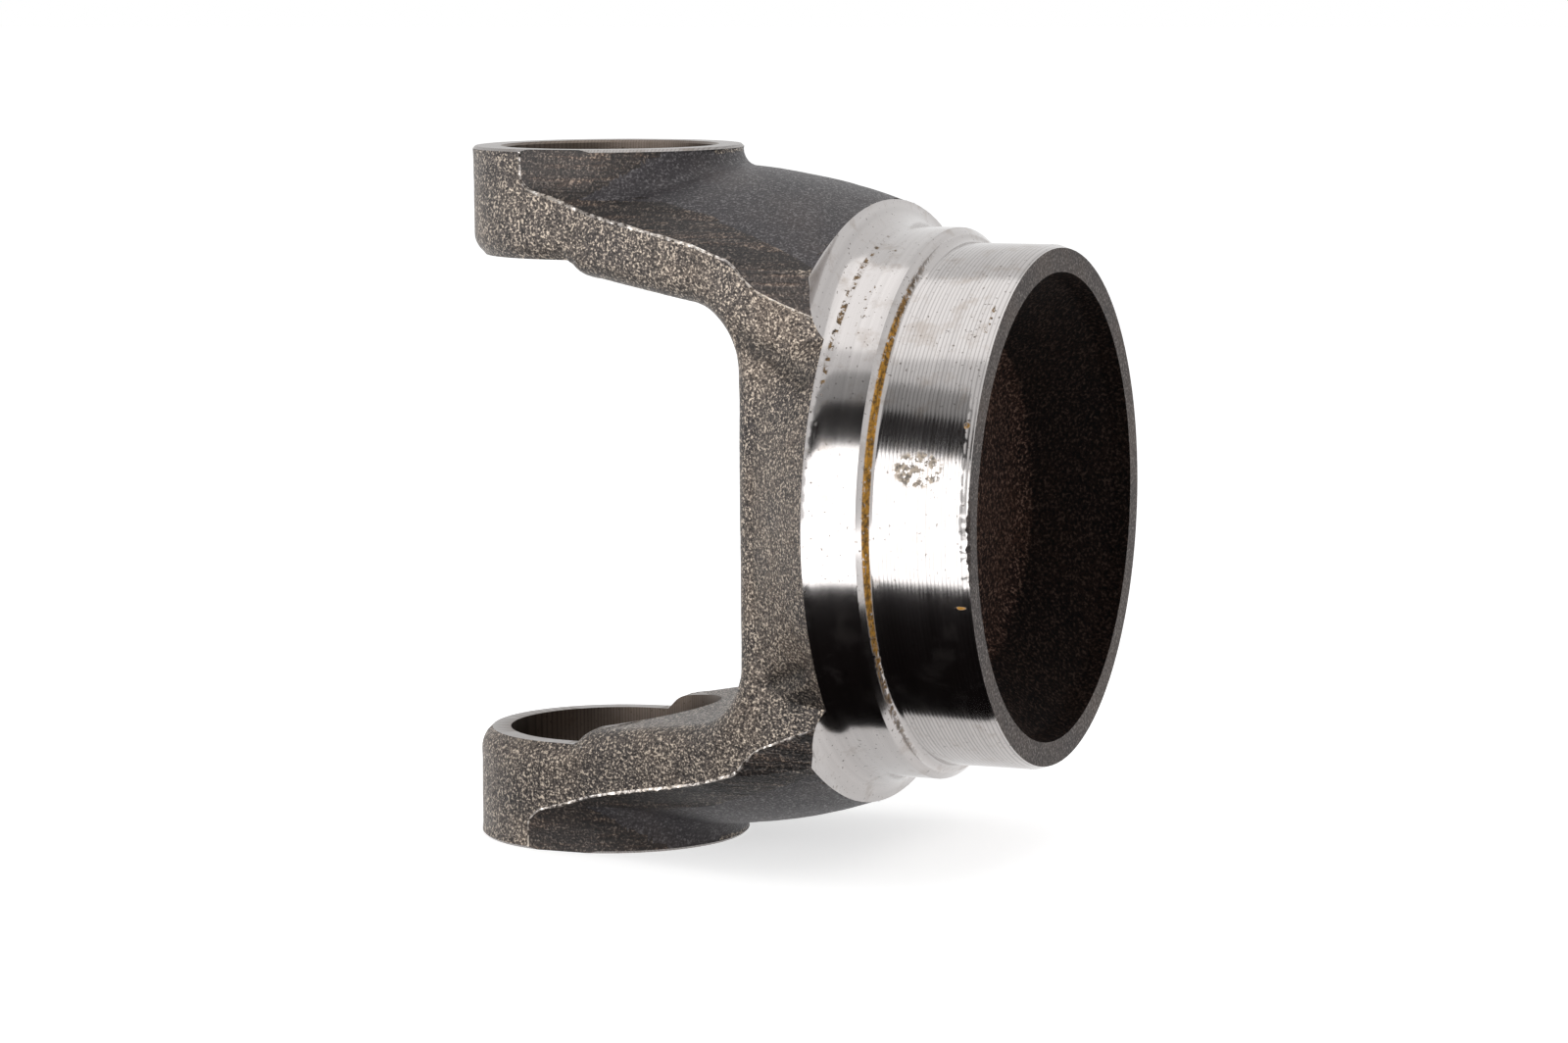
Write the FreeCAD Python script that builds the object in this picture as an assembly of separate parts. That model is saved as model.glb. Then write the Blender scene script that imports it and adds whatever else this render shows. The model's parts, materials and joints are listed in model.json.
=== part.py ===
import FreeCAD, Part
import math
import os

# Driveshaft tube yoke: one steel forging, machined at the weld end and the two ears.
# Millimetres. X is the shaft axis and points out of the weld end, Z is the axis of the
# two ear bores, and the origin is where the two axes cross.

# ears
bore_d = 30.18          # bore for the bearing caps
cap_span = 92.0         # between the inner walls of the two ring grooves
groove_w = 1.7          # ring groove, along the bore
groove_depth = 1.0
bore_chamfer = 0.35
lip_w = 1.3             # wall of the ear outside the groove
ear_gap = 67.6          # between the two milled inner faces
ear_r = 19.15           # forged boss round each bore
ear_lead = 0.2          # the boss stands this much nearer the tip than the bore
rim_chamfer = 0.35
cove_root_r = 2.3       # cove between the boss and the back of the arm, at its root side
cove_tip_r = 8.0        # and at its tip side

# arms
arm_waist = 38.2        # width of an arm level with the bore axis
arm_root_w = 57.6       # width where the arm meets the base
arm_end_w = 59.8        # width at the weld end
root_x = 31.5           # where the arm stops widening
neck_r = 25.0           # hollow between the boss and the arm's side
root_side_r = 30.0      # round between the two slopes of the arm's side
boss_rise = 2.4         # the machined face stands this far above the back's highest point
back_top_x = 14.3       # where that point lies along the shaft
back_bend_r = 82.0      # curve of the back, seen from the side
back_ear_r = 42.0       # curve of the back across the arm, near the ear
back_root_r = 49.0      # and near the weld end
trim_ear_w = 36.8       # width left by the trimming die at the ears
trim_neck_drop = 4.6    # the trimmed outline turns outwards this far below the highest point
trim_neck_r = 7.0
trim_shoulder_w = 56.4  # width of the trimmed outline at its shoulder
trim_shoulder_drop = 11.0
trim_shoulder_r = 4.0
trim_base_w = 61.4      # width of the trimmed outline at the base
trim_base_z = 20.0

# gap between the arms
mill_skin = 0.5         # left on the inner faces of the ears for milling
step_x = 1.5            # where the milled face ends
pad_gap = 63.5          # between the thicker pads, where they start
pad_angle = 8.8         # degrees, slope of the pad towards the base
step_round = 0.6
pad_round = 4.0
root_r = 9.0            # fillet between arm and base
saddle_x = 30.4         # face of the base between the arms
gap_edge_r = 3.4        # round along the gap's edges

# base
base_inset = 2.0        # the base starts this far behind the face, inside the edge round
hub_d = 77.4            # forged diameter at the weld end
hub_edge_x = 44.4       # where the base reaches that diameter
hub_end_x = 49.0

# weld end
mouth_x = 66.6          # end face, from the bore axis
pilot_d = 71.98         # fits inside the tube
pilot_len = 12.8
lead_in_len = 1.3
lead_in = 0.45
weld_fillet_r = 1.1
weld_chamfer = 0.9
land_d = 76.2           # same as the outside of the tube
land_x = 46.4           # where the land ends
flare_r = 4.5           # turned hollow between the land and the forging
facing_lean = 0.25      # the turned face beyond the hollow leans back by this much
facing_r = 50.0

# cup inside the weld end
rim_w = 3.3             # end face, from the pilot's lead-in inwards
rim_round = 2.4
rim_draft = 0.6         # the cup narrows by this much between the end face and the wall
cup_depth = 13.4
cup_floor_r = 21.0
cup_wall_angle = 42.0   # degrees, between the wall and the shaft axis
cup_floor_round = 3.0

over = 5.0              # cutting tools run past the faces by this much
near = 0.01             # edges are found to within this

ear_span = cap_span + 2 * (groove_w + lip_w)    # over the two machined outer faces
back_top = ear_span / 2 - boss_rise

X_AXIS = FreeCAD.Vector(1, 0, 0)
Y_AXIS = FreeCAD.Vector(0, 1, 0)
Z_AXIS = FreeCAD.Vector(0, 0, 1)
ORIGIN = FreeCAD.Vector(0, 0, 0)


def onSide(u, v):
    """Point of the side view: along the shaft, up the bore axis."""
    return FreeCAD.Vector(u, 0, v)


def onPlan(u, v):
    """Point of the plan: along the shaft, across the arm."""
    return FreeCAD.Vector(u, v, 0)


def onEnd(u, v):
    """Point of the end view: across the arm, up the bore axis."""
    return FreeCAD.Vector(0, u, v)


def corner(before, at, after, r):
    """Start, middle and end of the arc of radius r that rounds one corner."""
    back = (before - at).normalize()
    ahead = (after - at).normalize()
    half = back.getAngle(ahead) / 2
    run = r / math.tan(half)
    inward = (back + ahead).normalize()
    return at + back * run, at + inward * (r / math.sin(half) - r), at + ahead * run


def outline(points, place):
    """Closed face through the points (u, v, r), each corner rounded by its own radius r."""
    at = [place(u, v) for u, v, r in points]
    count = len(points)
    edges = []
    ends = []
    for i in range(count):
        r = points[i][2]
        if r > 0:
            first, middle, last = corner(at[i - 1], at[i], at[(i + 1) % count], r)
            edges.append(Part.Arc(first, middle, last).toShape())
            ends.append((first, last))
        else:
            ends.append((at[i], at[i]))
    for i in range(count):
        start = ends[i][1]
        stop = ends[(i + 1) % count][0]
        edges.append(Part.LineSegment(start, stop).toShape())
    return Part.Face(Part.Wire(Part.__sortEdges__(edges)))


def both(points):
    """A half outline and its mirror image across the first axis, as one closed list."""
    return points + [(u, -v, r) for u, v, r in reversed(points)]


def prism(face, direction, half):
    """The face, extruded by the same length to both sides."""
    face.translate(direction * -half)
    return face.extrude(direction * (2 * half))


def turned(points):
    """Solid turned round the shaft axis from points (x, radius, corner radius)."""
    return outline(points, onSide).revolve(ORIGIN, X_AXIS, 360)


def neckArc():
    """Arc that joins the ear circle to the side of the arm, on the plan's positive side."""
    slope = math.atan2((arm_root_w - arm_waist) / 2, root_x)
    normal = (-math.sin(slope), math.cos(slope))
    foot = (neck_r * normal[0], arm_waist / 2 + neck_r * normal[1])
    along = (math.cos(slope), math.sin(slope))
    gap_x = foot[0] + ear_lead
    b = gap_x * along[0] + foot[1] * along[1]
    c = gap_x ** 2 + foot[1] ** 2 - (ear_r + neck_r) ** 2
    t = -b + math.sqrt(b * b - c)
    centre = (foot[0] + t * along[0], foot[1] + t * along[1])
    on_line = (centre[0] - neck_r * normal[0], centre[1] - neck_r * normal[1])
    reach = ear_r / (ear_r + neck_r)
    on_ear = (-ear_lead + (centre[0] + ear_lead) * reach, centre[1] * reach)
    return on_ear, centre, on_line


def armPlan():
    """Face of the arms seen along the bore axis."""
    on_ear, centre, on_line = neckArc()
    half_turn = FreeCAD.Vector((on_ear[0] + on_line[0]) / 2 - centre[0],
                               (on_ear[1] + on_line[1]) / 2 - centre[1], 0)
    middle = FreeCAD.Vector(centre[0], centre[1], 0) + half_turn.normalize() * neck_r
    end = (onPlan(hub_end_x, arm_end_w / 2), onPlan(hub_end_x, -arm_end_w / 2))
    first, bend, last = corner(onPlan(*on_line), onPlan(root_x, arm_root_w / 2),
                               end[0], root_side_r)
    upper = [Part.Arc(onPlan(*on_ear), middle, onPlan(*on_line)).toShape(),
             Part.LineSegment(onPlan(*on_line), first).toShape(),
             Part.Arc(first, bend, last).toShape(),
             Part.LineSegment(last, end[0]).toShape()]
    lower = [edge.mirror(ORIGIN, Y_AXIS) for edge in upper]
    tip = Part.Arc(onPlan(*on_ear), onPlan(-ear_lead - ear_r, 0),
                   onPlan(on_ear[0], -on_ear[1])).toShape()
    close = Part.LineSegment(*end).toShape()
    return Part.Face(Part.Wire(Part.__sortEdges__(upper + lower + [tip, close])))


def trimOutline():
    """Face of the arms seen along the shaft, as the trimming die leaves it."""
    top = ear_span / 2 + over
    quarter = [(trim_ear_w / 2, top, 0),
               (trim_ear_w / 2, back_top - trim_neck_drop, trim_neck_r),
               (trim_shoulder_w / 2, back_top - trim_shoulder_drop, trim_shoulder_r),
               (trim_base_w / 2, trim_base_z, 0)]
    right = both(quarter)
    left = [(-u, v, r) for u, v, r in reversed(right)]
    return outline(right + left, onEnd)


def backHeight(x):
    """Height of the back's highest line above the shaft axis."""
    return back_top - back_bend_r + math.sqrt(back_bend_r ** 2 - (x - back_top_x) ** 2)


def crownSection(x, r):
    """Closed section across the upper arm at x, crowned with radius r."""
    half = hub_d / 2 - over
    top = backHeight(x)
    shoulder = top - r + math.sqrt(r ** 2 - half ** 2)
    place = X_AXIS * x
    ends = [onEnd(half, shoulder) + place, onEnd(-half, shoulder) + place]
    feet = [onEnd(-half, -over) + place, onEnd(half, -over) + place]
    crown = Part.Arc(ends[0], onEnd(0, top) + place, ends[1]).toShape()
    sides = [Part.LineSegment(*pair).toShape()
             for pair in ((ends[1], feet[0]), (feet[0], feet[1]), (feet[1], ends[0]))]
    return Part.Wire([crown] + sides)


def backCrown():
    """Solid whose outer surface is the crowned back of the upper arm."""
    stations = [(-ear_r - over, back_ear_r), (back_top_x, back_ear_r),
                ((back_top_x + root_x) / 2, back_ear_r),
                ((root_x + land_x) / 2, back_root_r), (hub_end_x, back_root_r)]
    return Part.makeLoft([crownSection(x, r) for x, r in stations], True, False)


def back():
    """Back of the upper arm with its boss, joined by a cove that widens towards the tip."""
    reach = 2 * mouth_x
    half_space = Part.makeBox(2 * reach, reach, 2 * reach, FreeCAD.Vector(-reach, 0, -reach))
    centre = FreeCAD.Vector(-ear_lead, 0, 0)
    boss = Part.makeCylinder(ear_r, ear_span / 2, centre, Z_AXIS, 180)
    half = backCrown().common(half_space).fuse(boss)
    seam = [edge for edge in half.Edges if isCove(edge)][0]
    radii = (cove_tip_r, cove_root_r)
    if seam.Curve.value(seam.FirstParameter).x > seam.CenterOfMass.x:
        radii = (cove_root_r, cove_tip_r)
    half = half.makeFillet(radii[0], radii[1], [seam])
    return half.fuse(half.mirror(ORIGIN, Y_AXIS))


def isCove(edge):
    """Whether the edge is where the boss meets the back of the arm."""
    box = edge.BoundBox
    across = box.YLength > ear_r / 2 and box.XLength < 3 * ear_r
    return across and box.ZMin > ear_gap / 2 and box.ZLength > mill_skin


def arms():
    """Both arms with their bosses, as forged and trimmed."""
    tall = ear_span / 2 + over
    envelope = prism(armPlan(), Z_AXIS, tall).common(prism(trimOutline(), X_AXIS, mouth_x))
    upper = envelope.common(back())
    lower = upper.mirror(ORIGIN, Z_AXIS)
    return upper.fuse(lower)


def base():
    """Block behind the weld end: flat-sided at its face, round where the lathe starts."""
    front_x = saddle_x + base_inset
    slope = (arm_root_w - arm_waist) / 2 / root_x
    left = gap_edge_r - base_inset
    hidden = gap_edge_r - math.sqrt(gap_edge_r ** 2 - left ** 2)
    half_w = arm_waist / 2 + slope * saddle_x - hidden
    rim = hub_d / 2
    high = math.sqrt(rim ** 2 - half_w ** 2)
    corners = [(half_w, high), (-half_w, high), (-half_w, -high), (half_w, -high)]
    middles = [(0, rim), (-rim, 0), (0, -rim), (rim, 0)]
    face = Part.makePolygon([onEnd(u, v) + X_AXIS * front_x for u, v in corners + corners[:1]])
    arcs = []
    for i in range(4):
        ends = (corners[i], corners[(i + 1) % 4])
        points = [onEnd(*ends[0]), onEnd(*middles[i]), onEnd(*ends[1])]
        arcs.append(Part.Arc(*[p + X_AXIS * hub_edge_x for p in points]).toShape())
    block = Part.makeLoft([face, Part.Wire(arcs)], True, True)
    collar = Part.makeCylinder(rim, hub_end_x - hub_edge_x, X_AXIS * hub_edge_x, X_AXIS)
    return block.fuse(collar)


def gapTool(skin):
    """Punch for the gap between the arms, with this much left on the ears' inner faces."""
    tip_z = ear_gap / 2 - skin
    pad_x = step_x + (ear_gap - pad_gap) / 2
    fall = (saddle_x - pad_x) * math.tan(math.radians(pad_angle))
    face = outline(both([(-ear_r - ear_lead - over, tip_z, 0),
                         (pad_x - tip_z + pad_gap / 2, tip_z, step_round),
                         (pad_x, pad_gap / 2, pad_round),
                         (saddle_x, pad_gap / 2 - fall, root_r)]), onSide)
    return prism(face, Y_AXIS, hub_d)


def millTool():
    """Cutter that faces the inner sides of both ears, up to the step."""
    high = ear_gap / 2
    low = high - 2 * mill_skin
    face = outline([(-ear_r - ear_lead - over, high, 0), (step_x, high, 0),
                    (step_x + high - low, low, 0), (-ear_r - ear_lead - over, low, 0)], onSide)
    upper = prism(face, Y_AXIS, hub_d)
    return upper.fuse(upper.mirror(ORIGIN, Z_AXIS))


def gapEdges(blank):
    """Edges between the gap and the outer sides of the blank."""
    tip = ear_gap / 2 - mill_skin
    found = []
    for edge in blank.Edges:
        box = edge.BoundBox
        inside = max(abs(box.ZMin), abs(box.ZMax)) < tip + near
        at = edge.CenterOfMass
        flank = abs(at.y) > ear_r / 2 or at.x < -ear_r / 2
        if inside and flank and box.XMax < saddle_x + near:
            found.append(edge)
    return found


def weldEnd():
    """Turned body of the weld end, from inside the base to the mouth."""
    pilot = pilot_d / 2
    land = land_d / 2
    shoulder_x = mouth_x - pilot_len - weld_fillet_r
    return turned([(hub_edge_x, 0, 0),
                   (hub_edge_x, land, 0),
                   (shoulder_x - weld_chamfer, land, 0),
                   (shoulder_x, land - weld_chamfer, 0),
                   (shoulder_x, pilot, weld_fillet_r),
                   (mouth_x - lead_in_len, pilot, 0),
                   (mouth_x, pilot - lead_in, 0),
                   (mouth_x, 0, 0)])


def turningCut():
    """Ring that the lathe takes off the forging between the arms' backs and the land."""
    land = land_d / 2
    turn_x = land_x - flare_r
    lean_x = turn_x - (facing_r - land - flare_r) * facing_lean
    arc = Part.Arc(onSide(land_x, land),
                   onSide(land_x - flare_r * math.sin(math.pi / 4),
                          land + flare_r * (1 - math.cos(math.pi / 4))),
                   onSide(turn_x, land + flare_r)).toShape()
    path = [(turn_x, land + flare_r), (lean_x, facing_r), (mouth_x, facing_r),
            (mouth_x, land), (land_x, land)]
    lines = [Part.LineSegment(onSide(*path[i]), onSide(*path[i + 1])).toShape()
             for i in range(len(path) - 1)]
    face = Part.Face(Part.Wire(Part.__sortEdges__(lines + [arc])))
    return face.revolve(ORIGIN, X_AXIS, 360)


def cup():
    """Forged hollow inside the weld end."""
    rim = pilot_d / 2 - lead_in - rim_w
    throat = rim - rim_draft
    floor_x = mouth_x - cup_depth
    wall_r = cup_floor_r + cup_floor_round * math.tan(math.radians(cup_wall_angle) / 2)
    throat_x = floor_x + (throat - wall_r) / math.tan(math.radians(cup_wall_angle))
    return turned([(floor_x, 0, 0),
                   (floor_x, wall_r, cup_floor_round),
                   (throat_x, throat, rim_round),
                   (mouth_x, rim, 0),
                   (mouth_x + over, rim, 0),
                   (mouth_x + over, 0, 0)])


def boreCuts():
    """Bores, their chamfers and ring grooves, and the milled inner faces, as one tool."""
    r = bore_d / 2
    top = ear_span / 2
    tool = Part.makeCylinder(r, ear_span, FreeCAD.Vector(0, 0, -top), Z_AXIS)
    for side in (-1, 1):
        mouth = Part.makeCone(r, r + bore_chamfer, bore_chamfer,
                              FreeCAD.Vector(0, 0, side * (top - bore_chamfer)),
                              Z_AXIS * side)
        groove = Part.makeCylinder(r + groove_depth, groove_w,
                                   FreeCAD.Vector(0, 0, side * cap_span / 2), Z_AXIS * side)
        tool = tool.fuse([mouth, groove])
    return tool


def rims():
    """Rings that chamfer the outer edge of both ears' machined rims."""
    top = ear_span / 2
    far = ear_r + over
    face = outline([(ear_r - rim_chamfer, top, 0), (ear_r, top - rim_chamfer, 0),
                    (far, top - rim_chamfer, 0), (far, top, 0)], onSide)
    ring = face.revolve(ORIGIN, Z_AXIS, 360)
    ring.translate(X_AXIS * -ear_lead)
    return ring.fuse(ring.mirror(ORIGIN, Z_AXIS))


def forgedYoke():
    """The whole yoke: forging first, then every machined face."""
    fork = arms().cut(gapTool(mill_skin))
    fork = fork.makeFillet(gap_edge_r, gapEdges(fork))
    blank = fork.fuse(base())
    blank = blank.fuse(weldEnd())
    blank = blank.cut(turningCut())
    blank = blank.cut(cup())
    blank = blank.cut(boreCuts())
    blank = blank.cut(millTool())
    return blank.cut(rims())


os.makedirs("parts", exist_ok=True)
yoke = forgedYoke()
print("valid", yoke.isValid(), "solids", len(yoke.Solids), "volume", round(yoke.Volume, 1))
yoke.exportStep("parts/forged_yoke.step")
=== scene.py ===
import bpy
import bmesh
import json
import math
from mathutils import Euler, Matrix, Vector, noise


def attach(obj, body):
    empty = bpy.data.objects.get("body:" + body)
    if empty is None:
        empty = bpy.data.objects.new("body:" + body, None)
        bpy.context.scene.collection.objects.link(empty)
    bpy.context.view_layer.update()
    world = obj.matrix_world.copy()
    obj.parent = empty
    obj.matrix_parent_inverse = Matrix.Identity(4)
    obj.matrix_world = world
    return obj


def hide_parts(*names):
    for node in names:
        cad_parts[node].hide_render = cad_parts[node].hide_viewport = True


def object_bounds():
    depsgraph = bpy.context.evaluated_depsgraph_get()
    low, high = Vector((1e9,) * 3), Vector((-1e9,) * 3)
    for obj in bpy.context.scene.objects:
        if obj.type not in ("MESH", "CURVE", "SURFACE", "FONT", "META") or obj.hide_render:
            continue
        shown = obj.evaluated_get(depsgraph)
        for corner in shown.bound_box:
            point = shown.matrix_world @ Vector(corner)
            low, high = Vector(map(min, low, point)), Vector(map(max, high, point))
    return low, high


# A one-piece steel yoke: blasted forging, trimmed flash band, turned weld end.
# Metres; X runs out of the weld end, Z is the bore axis, the origin is where they cross.

mm = 0.001
scene = bpy.context.scene
scene.view_settings.view_transform = "Standard"

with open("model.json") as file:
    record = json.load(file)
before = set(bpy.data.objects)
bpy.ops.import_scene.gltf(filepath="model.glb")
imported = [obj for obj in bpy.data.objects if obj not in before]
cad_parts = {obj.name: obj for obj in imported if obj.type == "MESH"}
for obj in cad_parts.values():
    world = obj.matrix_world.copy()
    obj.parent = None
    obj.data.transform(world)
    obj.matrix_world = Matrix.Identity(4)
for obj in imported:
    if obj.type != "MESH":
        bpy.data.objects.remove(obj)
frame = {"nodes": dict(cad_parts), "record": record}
cadLow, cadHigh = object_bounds()
mounts = {mount["name"]: mount for mount in frame["record"]["mounts"]}


def newObject(name, mesh):
    piece = bpy.data.objects.new(name, mesh)
    scene.collection.objects.link(piece)
    return piece


def meshFrom(bm, name):
    mesh = bpy.data.meshes.new(name)
    bm.to_mesh(mesh)
    bm.free()
    return mesh


cameraView = dict(
    place=(275.16 * mm, -606.44 * mm, 76.84 * mm),
    azimuth=22.324,
    elevation=6.992,
    roll=-0.402,
    lens=108.06,
    sensor=36.0,
)


def makeCamera():
    v = cameraView
    camera = bpy.data.cameras.new("camera")
    camera.lens = v["lens"]
    camera.sensor_width = v["sensor"]
    camera.clip_start, camera.clip_end = 0.05, 40
    holder = newObject("camera", camera)
    aim = Euler((math.radians(90 - v["elevation"]), 0, math.radians(v["azimuth"])))
    turn = aim.to_matrix() @ Matrix.Rotation(math.radians(v["roll"]), 3, "Z")
    holder.matrix_world = Matrix.Translation(v["place"]) @ turn.to_4x4()
    scene.camera = holder


makeCamera()
print("camera set")


def newMaterial(name):
    material = bpy.data.materials.new(name)
    material.use_nodes = True
    material.node_tree.nodes.clear()
    return material, material.node_tree


def addNode(tree, kind, inputs=None, **settings):
    node = tree.nodes.new(kind)
    for key, value in settings.items():
        setattr(node, key, value)
    for key, value in (inputs or {}).items():
        if isinstance(value, bpy.types.NodeSocket):
            tree.links.new(value, node.inputs[key])
        else:
            node.inputs[key].default_value = value
    return node


def mathNode(tree, operation, first, second=0.0, third=None):
    node = addNode(tree, "ShaderNodeMath", {0: first, 1: second}, operation=operation)
    if third is not None:
        if isinstance(third, bpy.types.NodeSocket):
            tree.links.new(third, node.inputs[2])
        else:
            node.inputs[2].default_value = third
    return node.outputs[0]


def rangeNode(tree, value, low, high, top=1.0):
    return addNode(tree, "ShaderNodeMapRange",
                   {"Value": value, "From Min": low, "From Max": high, "To Max": top}).outputs[0]


def rampNode(tree, factor, stops):
    node = addNode(tree, "ShaderNodeValToRGB", {"Fac": factor})
    ramp = node.color_ramp
    while len(ramp.elements) < len(stops):
        ramp.elements.new(0.5)
    for element, (place, colour) in zip(ramp.elements, stops):
        element.position = place
        element.color = (*colour, 1)
    return node.outputs["Color"]


def grey(value):
    return (value, value, value)


def scaled(values, factor):
    return tuple(value * factor for value in values)


def mixColour(tree, factor, first, second, blend="MIX"):
    node = addNode(tree, "ShaderNodeMix", data_type="RGBA", blend_type=blend)
    for index, value in ((0, factor), (6, first), (7, second)):
        if isinstance(value, bpy.types.NodeSocket):
            tree.links.new(value, node.inputs[index])
        else:
            if index and len(value) == 3:
                value = (*value, 1)
            node.inputs[index].default_value = value
    return node.outputs[2]


def noiseNode(tree, vector, scale, detail, roughness, distortion=0.0):
    return addNode(tree, "ShaderNodeTexNoise",
                   {"Vector": vector, "Scale": scale, "Detail": detail,
                    "Roughness": roughness, "Distortion": distortion}).outputs["Fac"]


def stretched(tree, vector, scale):
    return addNode(tree, "ShaderNodeMapping", {"Vector": vector, "Scale": scale}).outputs[0]


def newGroup(name, inputs, outputs):
    group = bpy.data.node_groups.new(name, "ShaderNodeTree")
    for label, kind, value in inputs:
        socket = group.interface.new_socket(label, in_out="INPUT", socket_type=kind)
        if value is not None:
            socket.default_value = value
    for label, kind in outputs:
        group.interface.new_socket(label, in_out="OUTPUT", socket_type=kind)
    start = group.nodes.new("NodeGroupInput")
    end = group.nodes.new("NodeGroupOutput")
    return group, start.outputs, end.inputs


def useGroup(tree, group, inputs):
    node = addNode(tree, "ShaderNodeGroup")
    node.node_tree = group
    for key, value in inputs.items():
        if isinstance(value, bpy.types.NodeSocket):
            tree.links.new(value, node.inputs[key])
        else:
            node.inputs[key].default_value = value
    return node.outputs


def endGroup(group, end, values):
    for label, value in values.items():
        group.links.new(value, end[label])
    return group


grainLook = dict(
    fineShare=0.78, coarseShare=0.22,
    coarseScale=0.45,           # of the grain's own scale
    sparkle=(0.535, 0.62), pits=(0.50, 0.40),
    cloudScale=95.0,
    dragScale=(90, 500, 1700),  # long along the arm, narrow across it
)


def makeBlastGrain():
    # pits and raised grains of a shot-blasted forging, the raised grains painted pale as glints,
    # and the drag lines of the trimming die
    look = grainLook
    group, start, end = newGroup(
        "blastGrain",
        [("Vector", "NodeSocketVector", None), ("Grain", "NodeSocketFloat", 2900.0)],
        [("Height", "NodeSocketFloat"), ("Sparkle", "NodeSocketFloat"),
         ("Pits", "NodeSocketFloat"), ("Cloud", "NodeSocketFloat"),
         ("Drag", "NodeSocketFloat")])
    place = start["Vector"]
    fine = noiseNode(group, place, start["Grain"], 2.0, 0.6, 0.1)
    coarseScale = mathNode(group, "MULTIPLY", start["Grain"], look["coarseScale"])
    coarse = noiseNode(group, place, coarseScale, 2.0, 0.6)
    cloud = noiseNode(group, place, look["cloudScale"], 3.0, 0.55)
    drag = noiseNode(group, stretched(group, place, look["dragScale"]), 1.0, 3.0, 0.6)
    both = mathNode(group, "ADD", mathNode(group, "MULTIPLY", fine, look["fineShare"]),
                    mathNode(group, "MULTIPLY", coarse, look["coarseShare"]))
    sparkle = rangeNode(group, both, *look["sparkle"])
    pits = rangeNode(group, both, *look["pits"])
    return endGroup(group, end, {"Height": both, "Sparkle": sparkle, "Pits": pits,
                                 "Cloud": cloud, "Drag": drag})


lineLook = dict(
    streakScale=(1500, 14, 14),  # narrow along the shaft axis, long round it
    groove=(0.4, 0.05),
    speckScale=1900.0, specks=(0.66, 0.72),
    mottleScale=260.0,
)


def makeTurnedLines():
    # fine spiral left by the lathe tool along the shaft axis
    look = lineLook
    group, start, end = newGroup(
        "turnedLines",
        [("Vector", "NodeSocketVector", None), ("Pitch", "NodeSocketFloat", 0.00055),
         ("Waver", "NodeSocketFloat", 0.5)],
        [("Height", "NodeSocketFloat"), ("Streak", "NodeSocketFloat"),
         ("Groove", "NodeSocketFloat"), ("Specks", "NodeSocketFloat"),
         ("Mottle", "NodeSocketFloat")])
    place = start["Vector"]
    parts = addNode(group, "ShaderNodeSeparateXYZ", {0: place}).outputs
    streak = noiseNode(group, stretched(group, place, look["streakScale"]), 1.0, 3.0, 0.6)
    waver = mathNode(group, "MULTIPLY", streak, start["Waver"])
    turns = mathNode(group, "ADD", mathNode(group, "DIVIDE", parts["X"], start["Pitch"]), waver)
    wave = mathNode(group, "SINE", mathNode(group, "MULTIPLY", turns, 2 * math.pi))
    height = mathNode(group, "MULTIPLY_ADD", wave, 0.5, 0.5)
    groove = rangeNode(group, height, *look["groove"])
    specks = rangeNode(group, noiseNode(group, place, look["speckScale"], 2.0, 0.6),
                       *look["specks"])
    mottle = noiseNode(group, place, look["mottleScale"], 4.0, 0.65)
    return endGroup(group, end, {"Height": height, "Streak": streak, "Groove": groove,
                                 "Specks": specks, "Mottle": mottle})


def makeSpot():
    # one within Reach of Place, an ellipsoid, and falling to nought over Soft reaches more
    group, start, end = newGroup(
        "spotAt",
        [("Vector", "NodeSocketVector", None), ("Place", "NodeSocketVector", None),
         ("Reach", "NodeSocketVector", None), ("Soft", "NodeSocketFloat", 0.5)],
        [("Mask", "NodeSocketFloat")])
    away = addNode(group, "ShaderNodeVectorMath", {0: start["Vector"], 1: start["Place"]},
                   operation="SUBTRACT").outputs[0]
    share = addNode(group, "ShaderNodeVectorMath", {0: away, 1: start["Reach"]},
                    operation="DIVIDE").outputs[0]
    size = addNode(group, "ShaderNodeVectorMath", {0: share}, operation="LENGTH").outputs["Value"]
    outer = mathNode(group, "ADD", start["Soft"], 1.0)
    mask = addNode(group, "ShaderNodeMapRange",
                   {"Value": size, "From Min": outer, "From Max": 1.0},
                   interpolation_type="SMOOTHSTEP").outputs[0]
    return endGroup(group, end, {"Mask": mask})


blastGrain = makeBlastGrain()
turnedLines = makeTurnedLines()
spotAt = makeSpot()


def spotMask(tree, place, where, reach, soft):
    return useGroup(tree, spotAt, {"Vector": place, "Soft": soft, "Place": scaled(where, mm),
                                   "Reach": scaled(reach, mm)})["Mask"]


def bumpNode(tree, distance, height):
    return addNode(tree, "ShaderNodeBump",
                   {"Strength": 1.0, "Distance": distance, "Height": height}).outputs[0]


def finishMaterial(tree, inputs):
    shader = addNode(tree, "ShaderNodeBsdfPrincipled", inputs)
    out = addNode(tree, "ShaderNodeOutputMaterial")
    tree.links.new(shader.outputs[0], out.inputs["Surface"])


skinTones = [(0.32, (0.62, 0.63, 0.68)), (0.5, grey(0.95)), (0.68, (1.3, 1.24, 1.14))]
dragTones = [(0.38, (0.42, 0.4, 0.4)), (0.52, grey(0.9)), (0.66, (1.9, 1.7, 1.5))]


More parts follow.
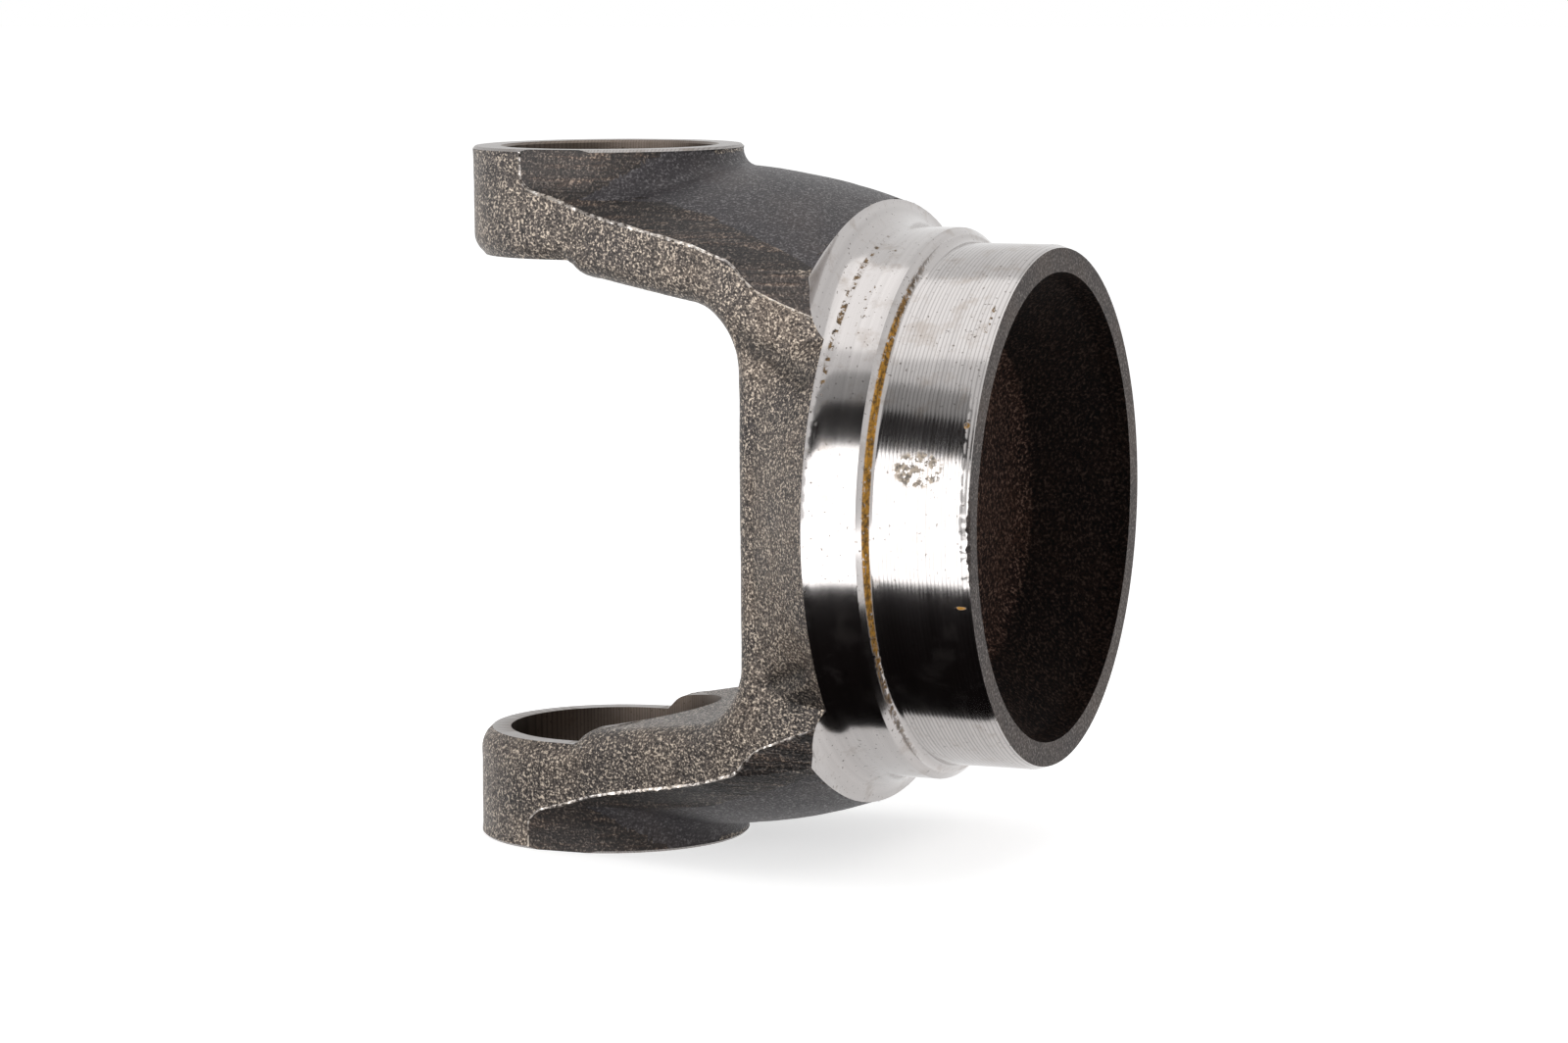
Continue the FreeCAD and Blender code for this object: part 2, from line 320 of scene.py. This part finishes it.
def forgedSkin(name, dark, body, light, roughness, grain, relief, metallic, drag=0.0,
               specular=0.5, paintedLight=()):
    # painted shade and highlight spots: place mm, reach mm, softness and the factor on the colour
    # there, darker below 1 and lighter above
    material, tree = newMaterial(name)
    place = addNode(tree, "ShaderNodeTexCoord").outputs["Object"]
    surface = useGroup(tree, blastGrain, {"Vector": place, "Grain": grain})
    base = mixColour(tree, surface["Pits"], body, dark)
    base = mixColour(tree, 1.0, base, rampNode(tree, surface["Cloud"], skinTones), "MULTIPLY")
    # grain tops painted pale: painted glints on the blasted grain
    base = mixColour(tree, surface["Sparkle"], base, light)
    # painted shade and painted highlight: the colour times the factor inside each spot
    for where, reach, soft, factor in paintedLight:
        base = mixColour(tree, spotMask(tree, place, where, reach, soft), base,
                         mixColour(tree, 1.0, base, grey(factor), "MULTIPLY"))
    height = surface["Height"]
    if drag:
        lines = rampNode(tree, surface["Drag"], dragTones)
        base = mixColour(tree, drag, base, lines, "MULTIPLY")
        height = mathNode(tree, "ADD", height, mathNode(tree, "MULTIPLY", surface["Drag"], drag))
    rough = mathNode(tree, "MULTIPLY_ADD", surface["Sparkle"], -0.16, roughness)
    finishMaterial(tree, {"Base Color": base, "Roughness": rough, "Metallic": metallic,
                          "Specular IOR Level": specular,
                          "Normal": bumpNode(tree, relief, height)})
    return material


streakTones = [(0.25, grey(0.86)), (0.75, grey(1.04))]
wearAndGlints = dict(
    grooveMix=0.4, grooveShade=0.25, lineFade=0.4,
    patina=(0.54, 0.7, 0.55), patinaShade=(0.62, 0.56, 0.5), patinaDirt=0.06,
    speckMix=0.8, speckColour=(0.05, 0.035, 0.025),
    gritScale=1100.0, gritEdge=0.07,
    shadeScale=1600.0, shade=(0.42, 0.62), markShade=0.2,
    dirtAndGlintRough=0.4, dirtAndGlintMetal=-0.75, streakRough=0.06,
)


def turnedSteel(name, body, roughness, pitch, relief, marks=(), linesFrom=-60.0):
    # marks: colour, place mm, reach mm, softness, and the noise level above which it shows
    w = wearAndGlints
    material, tree = newMaterial(name)
    place = addNode(tree, "ShaderNodeTexCoord").outputs["Object"]
    lines = useGroup(tree, turnedLines, {"Vector": place, "Pitch": pitch, "Waver": 0.5})
    base = mixColour(tree, 1.0, body, rampNode(tree, lines["Streak"], streakTones), "MULTIPLY")
    parts = addNode(tree, "ShaderNodeSeparateXYZ", {0: place}).outputs
    cut = rangeNode(tree, parts["X"], linesFrom * mm, (linesFrom + w["lineFade"]) * mm)
    groove = mathNode(tree, "MULTIPLY", lines["Groove"], cut)
    base = mixColour(tree, mathNode(tree, "MULTIPLY", groove, w["grooveMix"]), base,
                     scaled(body, w["grooveShade"]))
    patina = rangeNode(tree, lines["Mottle"], *w["patina"])
    base = mixColour(tree, patina, base, tuple(a * b for a, b in zip(body, w["patinaShade"])))
    base = mixColour(tree, mathNode(tree, "MULTIPLY", lines["Specks"], w["speckMix"]), base,
                     w["speckColour"])
    dirtAndGlints = mathNode(tree, "MULTIPLY", patina, w["patinaDirt"])
    if marks:
        grit = noiseNode(tree, place, w["gritScale"], 3.0, 0.65)
        shade = rangeNode(tree, noiseNode(tree, place, w["shadeScale"], 3.0, 0.7), *w["shade"])
    for colour, where, reach, soft, level in marks:
        broken = rangeNode(tree, grit, level, level + w["gritEdge"])
        mask = mathNode(tree, "MULTIPLY", spotMask(tree, place, where, reach, soft), broken)
        tint = mixColour(tree, shade, colour, scaled(colour, w["markShade"]))
        base = mixColour(tree, mask, base, tint)
        dirtAndGlints = mathNode(tree, "MAXIMUM", dirtAndGlints, mask)
    streaky = mathNode(tree, "MULTIPLY_ADD", lines["Streak"], w["streakRough"],
                       roughness - w["streakRough"] / 2)
    finishMaterial(tree, {
        "Base Color": base,
        "Roughness": mathNode(tree, "MULTIPLY_ADD", dirtAndGlints, w["dirtAndGlintRough"], streaky),
        "Metallic": mathNode(tree, "MULTIPLY_ADD", dirtAndGlints, w["dirtAndGlintMetal"], 1.0),
        "Normal": bumpNode(tree, relief, mathNode(tree, "MULTIPLY", lines["Height"], cut))})
    return material


amber, brown, khaki = (0.5, 0.24, 0.018), (0.18, 0.1, 0.03), (0.4, 0.33, 0.26)
weldMarks = [
    (brown, (52.75, -22, 3), (0.3, 17, 26), 0.5, 0.44),         # rust in the weld fillet
    (amber, (52.75, -30, 7), (0.26, 14, 19), 0.6, 0.34),
    (brown, (45.3, -22, 27), (0.28, 14, 11), 0.8, 0.5),         # dots along the land
    (brown, (48.2, -20, 31), (0.5, 9, 7), 0.9, 0.6),
    (khaki, (59.4, -34.6, 8.6), (2.9, 4, 2.0), 0.35, 0.47),     # stain on the pilot
    (brown, (65.2, -23.5, 27), (0.25, 3, 2.2), 0.5, 0.52),      # specks by the rim
    # the two amber specks below are painted glints in a rust colour
    (amber, (65.5, -33.0, 14.4), (0.3, 2, 0.3), 0.6, 0.4),
    (amber, (65.2, -34.7, -9.4), (0.5, 2, 0.15), 0.8, 0.4),
]
# painted shade: the forged colour darkened along the valleys of the base wall
valleyPaintedShade = [(where, (0.8, 0.8, 0.8), 1.6, 0.5) for where in (
    (32.0, -28.6, 24.4), (34.0, -29.0, 23.4), (36.0, -29.1, 22.6), (38.2, -30.0, 21.6),
    (40.2, -31.0, 20.8), (42.0, -32.0, 19.6), (36.6, -29.4, -22.0), (38.8, -30.2, -21.0),
    (41.0, -31.4, -20.0), (39.4, -29.7, -24.2), (41.6, -30.6, -23.2))]
# painted highlight: the cup floor lightened where its curve turns up
cupFloorPaintedHighlight = [((54.0, 0, 0), (2.6, 23, 23), 0.12, 4.0)]
skinLooks = dict(
    blasted=dict(name="blastedForging", dark=(0.016, 0.011, 0.009), body=(0.1, 0.08, 0.068),
                 light=(0.55, 0.46, 0.37), roughness=0.46, grain=2900.0, relief=0.0003,
                 metallic=0.42, paintedLight=valleyPaintedShade),
    back=dict(name="armBack", dark=(0.022, 0.018, 0.02), body=(0.042, 0.036, 0.039),
              light=(0.125, 0.115, 0.118), roughness=0.5, grain=2900.0, relief=0.0001,
              metallic=0.35),
    band=dict(name="trimmedBand", dark=(0.01, 0.0065, 0.005), body=(0.028, 0.019, 0.016),
              light=(0.15, 0.12, 0.1), roughness=0.46, grain=2900.0, relief=0.00018,
              metallic=0.35, drag=0.8),
    # the near-black inside of the cup is painted shade of the hollow, with a painted highlight on
    # its floor
    cup=dict(name="cupPaintedShadeAndHighlight", dark=(0.0008, 0.0005, 0.0004), body=(0.007, 0.0035, 0.0026),
             light=(0.034, 0.021, 0.016), roughness=0.7, grain=2300.0, relief=0.0002,
             metallic=0.0, specular=0.04, paintedLight=cupFloorPaintedHighlight),
    rim=dict(name="rimFace", dark=(0.028, 0.02, 0.017), body=(0.062, 0.047, 0.042),
             light=(0.14, 0.115, 0.1), roughness=0.6, grain=2600.0, relief=0.00015,
             metallic=0.2, specular=0.3),
    burr=dict(name="burrEdge", dark=(0.05, 0.037, 0.03), body=(0.55, 0.49, 0.44),
              light=(0.95, 0.9, 0.85), roughness=0.32, grain=1300.0, relief=0.0001,
              metallic=0.5),
)
steelLooks = dict(
    turned=dict(name="turnedSteel", body=(0.5, 0.475, 0.465), roughness=0.14, pitch=0.00055,
                relief=0.000007, marks=weldMarks, linesFrom=53.3),
    bored=dict(name="boredSteel", body=(0.16, 0.13, 0.11), roughness=0.36, pitch=0.0004,
               relief=0.000004),
    milled=dict(name="milledSteel", body=(0.34, 0.32, 0.31), roughness=0.36, pitch=0.0004,
                relief=0.000004),
)
finishes = {key: forgedSkin(**look) for key, look in skinLooks.items()}
finishes.update((key, turnedSteel(**look)) for key, look in steelLooks.items())
finishOrder = list(finishes)
print("materials made", len(finishes))

# mm from here on; each on... value is how far a face may be off the surface it belongs to
turning = dict(
    landEnd=46.4,       # land's edge towards the arms
    flareRadius=4.5, onFlare=0.12, flareGap=0.1,
    landRadius=38.1,
    facingLean=0.25, onFacing=0.15,
    endTilt=0.9, rimGap=0.1,
    cupRadius=35.2,     # everything inside this at the mouth is as forged
    cupGap=0.4, cupFrom=50, cupTilt=-0.2,
)
ears = dict(
    face=49.0, onFace=0.02,
    faceBreak=0.36, faceRadius=18.7,    # rounded edge of the face outside this radius
    inner=33.8,
    bore=mounts["cross_bore"]["dims"]["r_mm"], onBore=0.25,
    groove=16.09, onGroove=0.15,
)
band = dict(
    side=17.5, foot=25.0, wallLimit=19.4, wallTop=43.5,
    flatX=0.004, flatZ=0.98,            # the trimming die cuts straight along X
    earTop=42.2, earFrom=3, earTo=20, earSide=5, earTilt=0.9,
    smoothFrom=8.5, smoothHeight=45, smoothLean=1.6,     # slanted end of the band at the ear
    crownTop=34, crownTilt=0.2,
    crownFrom=16.0, crownSide=18.6, crownSpread=0.324,   # where the back turns into the band
)
relief = dict(
    merge=0.002,
    edge=1.3, passes=7,                 # longest edge left on the forged skin
    crease=24,                          # degrees above which an edge stays sharp
    wave=0.16, waveLength=7.0,
    pock=0.07, pockLength=1.7, pockShift=(9, 4, 7),
)
nick = dict(
    areaX=64, areaSide=-20, areaReach=20, edge=0.8,
    fromX=65.9, side=-30, radius=35, reach=7.0,
    depth=0.5, lumps=0.9, shift=(3.3, 0.5), gain=1.6,
)
burrRidge = dict(
    side=17.8, foot=25.2, endX=36, endZ=31.5,
    step=0.3, width=0.2, height=0.6, sink=0.06,
    lump=0.45, swell=5, swellShift=(2, 8, 5),
    lowest=0.35, gain=1.3, narrowest=0.6,
)
# start, end, half width and depth of the soft valleys pressed in the near wall of the base
valleys = [
    ((30.5, -28.2, 25.2), (36.0, -29.1, 22.6), 1.1, 0.45),
    ((36.0, -29.1, 22.6), (42.0, -32.0, 19.6), 1.3, 0.6),
    ((35.5, -29.3, -22.3), (43.0, -32.4, -18.6), 1.2, 0.55),
    ((38.0, -29.4, -24.6), (43.5, -31.5, -22.2), 0.45, 0.35),
]
skinKinds = ("blasted", "back", "band")


def crownLine(x):
    return band["crownSide"] + (x - band["crownFrom"]) * band["crownSpread"]


def skinAt(c, normal):
    b = band
    side, high = abs(c.y), abs(c.z)
    if abs(normal.x) < b["flatX"] and side > b["side"] and high > b["foot"]:
        if not (side < b["wallLimit"] and high < b["wallTop"]) and abs(normal.z) < b["flatZ"]:
            return "band"
    onEar = high > b["earTop"] and b["earFrom"] < c.x < b["earTo"] and side > b["earSide"]
    if onEar and abs(normal.z) < b["earTilt"]:
        slant = b["smoothFrom"] + (high - b["smoothHeight"]) * b["smoothLean"]
        return "band" if c.x < slant else "back"
    if high > b["crownTop"] and normal.z * c.z > 0 and abs(normal.z) > b["crownTilt"]:
        return "band" if side > crownLine(c.x) else "back"
    return "blasted"


def weldEndAt(c, normal, r):
    t = turning
    atEnd = normal.x > t["endTilt"]
    if atEnd and c.x > cadHigh.x / mm - t["rimGap"]:
        return "rim"
    inner = atEnd and r < t["cupRadius"] + t["cupGap"]
    outward = (normal.y * c.y + normal.z * c.z) / max(r, 1e-6)
    if inner or outward < t["cupTilt"] or (r < t["cupRadius"] and c.x > t["cupFrom"]):
        return "cup"
    return "turned"


def finishAt(centre, normal):
    c = centre / mm
    r = math.hypot(c.y, c.z)
    rb = math.hypot(c.x, c.y)
    high = abs(c.z)
    t, e = turning, ears
    if c.x > t["landEnd"]:
        return weldEndAt(c, normal, r)
    flareAt = t["landRadius"] + t["flareRadius"]
    offFlare = abs(math.hypot(c.x - t["landEnd"], r - flareAt) - t["flareRadius"])
    faceX = t["landEnd"] - t["flareRadius"] - (r - flareAt) * t["facingLean"]
    if offFlare < t["onFlare"] and r < flareAt + t["flareGap"]:
        return "turned"
    if r > flareAt - t["flareGap"] and abs(c.x - faceX) < t["onFacing"]:
        return "turned"
    if abs(rb - e["bore"]) < e["onBore"] or abs(rb - e["groove"]) < e["onGroove"]:
        return "bored"
    if high > e["face"] - e["onFace"] or abs(high - e["inner"]) < e["onFace"]:
        return "milled"
    if high > e["face"] - e["faceBreak"] and rb > e["faceRadius"]:
        return "milled"
    return skinAt(c, normal)


def kindOf(face):
    return finishOrder[face.material_index]


def nearNick(face):
    c = face.calc_center_median() / mm
    inArea = c.x > nick["areaX"] and c.y < nick["areaSide"] and abs(c.z) < nick["areaReach"]
    return inArea and kindOf(face) in ("turned", "rim")


def triangulate(bm, **settings):
    many = [face for face in bm.faces if len(face.verts) > 3]
    bmesh.ops.triangulate(bm, faces=many, **settings)


def refine(bm, chosen, longest):
    for _ in range(relief["passes"]):
        edges = [edge for edge in bm.edges if edge.calc_length() > longest
                 and all(chosen(face) for face in edge.link_faces)]
        if not edges:
            break
        bmesh.ops.subdivide_edges(bm, edges=edges, cuts=1)
        triangulate(bm, quad_method="SHORT_EDGE")


def cutCrown(bm):
    # edges along the line where the back turns into the band
    for side in (1, -1):
        run = Vector((1, side * band["crownSpread"], 0))
        through = Vector((band["crownFrom"], side * band["crownSide"], 0)) * mm
        faces = [face for face in bm.faces if kindOf(face) in skinKinds
                 and face.calc_center_median().y * side > 0]
        parts = dict.fromkeys(part for f in faces for part in (*f.verts, *f.edges, f))
        bmesh.ops.bisect_plane(bm, geom=list(parts), dist=1e-6, plane_co=through,
                               plane_no=run.cross(Vector((0, 0, 1))))
    triangulate(bm)


def valleyDepth(c):
    depth = 0
    for start, end, half, deep in valleys:
        a, b = Vector(start), Vector(end)
        t = min(max((c - a).dot(b - a) / (b - a).length_squared, 0), 1)
        away = (c - a - (b - a) * t).length
        depth = max(depth, deep * math.exp(-(away / half) ** 2))
    return depth


def pressSkin(bm):
    # small hollows of the forged surface; machined faces and their borders stay put
    bm.normal_update()
    moves = []
    for vert in bm.verts:
        if vert.link_faces and all(kindOf(face) in skinKinds for face in vert.link_faces):
            c = vert.co / mm
            wave = noise.noise(c / relief["waveLength"]) * 0.5 + 0.5
            pock = max(noise.noise(c / relief["pockLength"] + Vector(relief["pockShift"])), 0)
            deep = relief["wave"] * wave + relief["pock"] * pock + valleyDepth(c)
            moves.append((vert, vert.co - vert.normal * deep * mm))
    for vert, place in moves:
        vert.co = place


def nickRim(bm):
    # ragged dent in the near edge of the weld mouth
    n = nick
    for vert in bm.verts:
        c = vert.co / mm
        onRim = c.x > n["fromX"] and c.y < n["side"] and math.hypot(c.y, c.z) > n["radius"]
        if onRim and abs(c.z) < n["reach"]:
            fade = 1 - (c.z / n["reach"]) ** 2
            rag = abs(noise.noise(Vector((c.z * n["lumps"], *n["shift"])))) * n["gain"]
            vert.co.x -= min(rag * fade, 1) * n["depth"] * mm


def makeYoke():
    bm = bmesh.new()
    bm.from_mesh(frame["nodes"]["forged_yoke"].data)
    bmesh.ops.remove_doubles(bm, verts=bm.verts, dist=relief["merge"] * mm)
    for face in bm.faces:
        face.normal_update()
        face.material_index = finishOrder.index(finishAt(face.calc_center_median(), face.normal))
    cutCrown(bm)
    refine(bm, lambda face: kindOf(face) in skinKinds, relief["edge"] * mm)
    refine(bm, nearNick, nick["edge"] * mm)
    bm.normal_update()
    for face in bm.faces:
        if kindOf(face) in skinKinds:
            kind = skinAt(face.calc_center_median() / mm, face.normal)
            face.material_index = finishOrder.index(kind)
        face.smooth = True
    for edge in bm.edges:
        crease = math.radians(relief["crease"])
        edge.smooth = len(edge.link_faces) == 2 and edge.calc_face_angle(0) <= crease
    pressSkin(bm)
    nickRim(bm)
    makeBurr(bm)
    counts = {name: 0 for name in finishOrder}
    for face in bm.faces:
        counts[kindOf(face)] += 1
    print("faces by finish", counts)
    mesh = meshFrom(bm, "forgedYoke")
    for name in finishOrder:
        mesh.materials.append(finishes[name])
    yoke = newObject("forgedYoke", mesh)
    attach(yoke, "root")
    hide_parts("forged_yoke")


def burrEdges(bm):
    for edge in bm.edges:
        c = (edge.verts[0].co + edge.verts[1].co) / 2 / mm
        kinds = {kindOf(face) for face in edge.link_faces}
        atHub = c.x > burrRidge["endX"] and abs(c.z) > burrRidge["endZ"]
        if len(edge.link_faces) == 2 and kinds == {"band", "blasted"} and not atHub:
            if abs(c.y) >= burrRidge["side"] and abs(c.z) >= burrRidge["foot"]:
                yield edge


def makeBurr(bm):
    # ragged ridge that the trimming die leaves where the band meets the plan wall:
    # a closed three-sided bar along each edge, its crest raised and leaned by noise
    b = burrRidge
    ridge = bmesh.new()
    for edge in burrEdges(bm):
        start = edge.verts[0].co
        along = edge.verts[1].co - start
        out = sum((face.normal for face in edge.link_faces), Vector()).normalized()
        across = along.cross(out).normalized()
        sink = -out * b["sink"] * mm
        steps = max(1, round(along.length / (b["step"] * mm)))
        rings = []
        for i in range(steps + 1):
            p = start + along * i / steps
            rag = noise.noise(p / mm / b["lump"])
            swell = noise.noise(p / mm / b["swell"] + Vector(b["swellShift"])) * 0.5 + 0.5
            tall = b["height"] * swell * (b["lowest"] + max(rag, 0) * b["gain"]) * mm
            wide = b["width"] * (b["narrowest"] + swell) * mm
            corners = (p + across * wide + sink, p + out * tall + across * rag * wide,
                       p - across * wide + sink)
            rings.append([ridge.verts.new(corner) for corner in corners])
        for first, second in zip(rings, rings[1:]):
            for k in range(3):
                ridge.faces.new((first[k], second[k], second[(k + 1) % 3], first[(k + 1) % 3]))
        ridge.faces.new(rings[0][::-1])
        ridge.faces.new(rings[-1])
    bmesh.ops.remove_doubles(ridge, verts=ridge.verts, dist=1e-6)
    bmesh.ops.recalc_face_normals(ridge, faces=ridge.faces)
    print("burr faces", len(ridge.faces))
    burr = newObject("trimBurr", meshFrom(ridge, "trimBurr"))
    burr.data.materials.append(finishes["burr"])
    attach(burr, "root")


makeYoke()
print("yoke made")

# metres; floorLift is what the eye and the gloss see on top of the lit floor
studio = dict(floorReach=6.0, floorTone=0.8, floorLift=0.62, ambient=0.55)
mirrorAzimuth = -22     # way the turned end mirrors, seen from the camera side
panels = dict(
    frontPanel=dict(azimuth=mirrorAzimuth, elevation=9, distance=1.1, aim=(0.05, 0, 0),
                    size=(1.4, 0.50), radiance=2.0),
    topBox=dict(place=(0.0, 0.1, 1.3), aim=(0.0, 0, 0), size=(1.6, 1.2), radiance=0.6),
)
standing = dict(        # elevations of the lower and upper edges, in degrees
    frontFlag=dict(distance=0.9, low=27.2, high=44, width=1.7, glow=0),
    shadeCard=dict(distance=0.9, low=44, high=56, width=1.7, glow=0.42),
    brightCard=dict(distance=1.05, low=-2.5, high=31, width=1.9, glow=3.0),
)
lying = dict(           # just above the floor
    # dark card under the object that only the gloss sees: painted shadow of the object on the
    # floor
    underShadowCard=dict(x=(-0.25, 0.13), y=(-0.115, -0.022), glow=0),
    floorCard=dict(x=(-1.6, 0.5), y=(-1.02, -0.115), glow=3.0),
)
cardBlack = (0.01, 0.008, 0.008, 1)
lyingRise = 0.05 * mm


def isSeen(tree):
    rays = addNode(tree, "ShaderNodeLightPath").outputs
    seen = mathNode(tree, "MAXIMUM", rays["Is Camera Ray"], rays["Is Glossy Ray"])
    return mathNode(tree, "MAXIMUM", seen, rays["Is Transmission Ray"])


def makeFloor():
    bm = bmesh.new()
    bmesh.ops.create_grid(bm, x_segments=2, y_segments=2, size=studio["floorReach"])
    bmesh.ops.translate(bm, verts=bm.verts, vec=(0, 0, cadLow.z))
    floor = newObject("studioFloor", meshFrom(bm, "studioFloor"))
    material, tree = newMaterial("paleFloor")
    glow = mathNode(tree, "MULTIPLY", isSeen(tree), studio["floorLift"])
    matte = addNode(tree, "ShaderNodeBsdfDiffuse", {"Color": (*grey(studio["floorTone"]), 1)})
    lift = addNode(tree, "ShaderNodeEmission", {"Color": (1, 1, 1, 1), "Strength": glow})
    both = addNode(tree, "ShaderNodeAddShader")
    out = addNode(tree, "ShaderNodeOutputMaterial")
    tree.links.new(matte.outputs[0], both.inputs[0])
    tree.links.new(lift.outputs[0], both.inputs[1])
    tree.links.new(both.outputs[0], out.inputs["Surface"])
    floor.data.materials.append(material)


def makeWorld():
    world = bpy.data.worlds.new("studioWorld")
    world.use_nodes = True
    tree = world.node_tree
    tree.nodes.clear()
    seen = isSeen(tree)
    strength = mathNode(tree, "MULTIPLY_ADD", seen, 1 - studio["ambient"], studio["ambient"])
    sky = addNode(tree, "ShaderNodeBackground", {"Color": (1, 1, 1, 1), "Strength": strength})
    out = addNode(tree, "ShaderNodeOutputWorld")
    tree.links.new(sky.outputs[0], out.inputs["Surface"])
    scene.world = world


def ringPoint(distance, azimuth, elevation):
    # azimuth 0 is towards the camera side, -Y, and grows towards +X
    a, e = math.radians(azimuth), math.radians(elevation)
    return Vector((math.sin(a) * math.cos(e), -math.cos(a) * math.cos(e), math.sin(e))) * distance


def makePanel(name, aim, size, radiance, place=None, **ring):
    place = Vector(place or ringPoint(**ring))
    lamp = bpy.data.lights.new(name, "AREA")
    lamp.shape = "RECTANGLE"
    lamp.size, lamp.size_y = size
    lamp.energy = radiance * math.pi * size[0] * size[1]
    holder = newObject(name, lamp)
    holder.location = place
    holder.rotation_euler = (Vector(aim) - place).to_track_quat("-Z", "Y").to_euler()


def makeCard(name, corners, glow):
    # card that only the gloss of the metal sees: dark at no glow, else lit
    bm = bmesh.new()
    bm.faces.new([bm.verts.new(corner) for corner in corners])
    card = newObject(name, meshFrom(bm, name))
    material, tree = newMaterial(name + "Paper")
    out = addNode(tree, "ShaderNodeOutputMaterial")
    if glow:
        paper = addNode(tree, "ShaderNodeEmission", {"Color": (1, 1, 1, 1), "Strength": glow})
    else:
        paper = addNode(tree, "ShaderNodeBsdfDiffuse", {"Color": cardBlack})
    tree.links.new(paper.outputs[0], out.inputs["Surface"])
    card.data.materials.append(material)
    card.visible_camera = False
    card.visible_diffuse = False
    card.visible_shadow = False


def standCard(name, distance, low, high, width, glow):
    # upright card square to the way the turned end mirrors, between two elevations
    centre = ringPoint(distance, mirrorAzimuth, 0)
    across = Vector((0, 0, 1)).cross(centre).normalized() * width / 2
    lift = [Vector((0, 0, distance * math.tan(math.radians(e)))) for e in (low, high)]
    makeCard(name, [centre - across + lift[0], centre + across + lift[0],
                    centre + across + lift[1], centre - across + lift[1]], glow)


def layCard(name, x, y, glow):
    z = cadLow.z + lyingRise
    makeCard(name, [(x[0], y[0], z), (x[1], y[0], z), (x[1], y[1], z), (x[0], y[1], z)], glow)


makeFloor()
makeWorld()
for name, settings in panels.items():
    makePanel(name, **settings)
for name, settings in standing.items():
    standCard(name, **settings)
for name, settings in lying.items():
    layCard(name, **settings)
print("studio lit")
